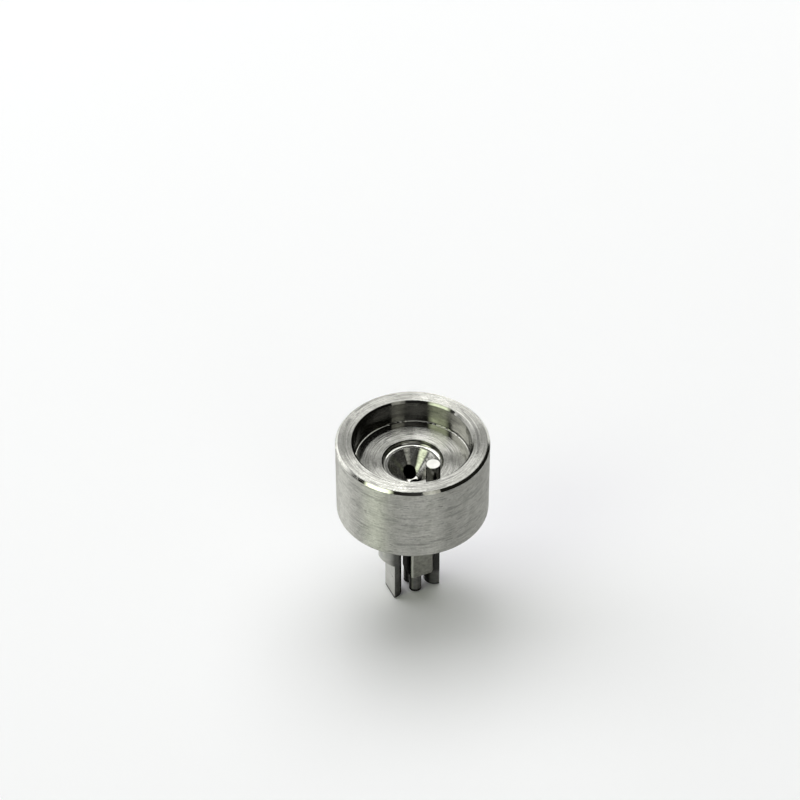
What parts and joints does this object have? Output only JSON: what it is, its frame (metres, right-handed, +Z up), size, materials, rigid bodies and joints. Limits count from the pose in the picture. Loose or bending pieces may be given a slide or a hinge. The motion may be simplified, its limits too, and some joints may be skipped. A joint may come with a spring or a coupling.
{
  "type": "dispensing nozzle",
  "caption": "Turned steel cup with a funnelled recess and a locating pin, feeding needle tubes that stand between half-round stop pins, for laying dots of adhesive on a board.",
  "frame": {"origin": "on the turning axis, in the plane of the stop pins' feet", "axes": "+Z up the turning axis towards the recess, +X along the line of the stop pins towards the one that the needle block wraps, -Y towards the locating pin"},
  "size_m": [0.013, 0.013, 0.0179],
  "materials": {
    "turned_steel": "satin turned",
    "needle_steel": "drawn tube",
    "stop_steel": "ground",
    "locating_steel": "polished"
  },
  "bodies": {
    "root": {"nozzle_body": "turned_steel", "needle_front": "needle_steel", "needle_rear": "needle_steel", "stop_pin_left": "stop_steel", "stop_pin_right": "stop_steel", "locating_pin": "locating_steel"}
  },
  "joints": []
}
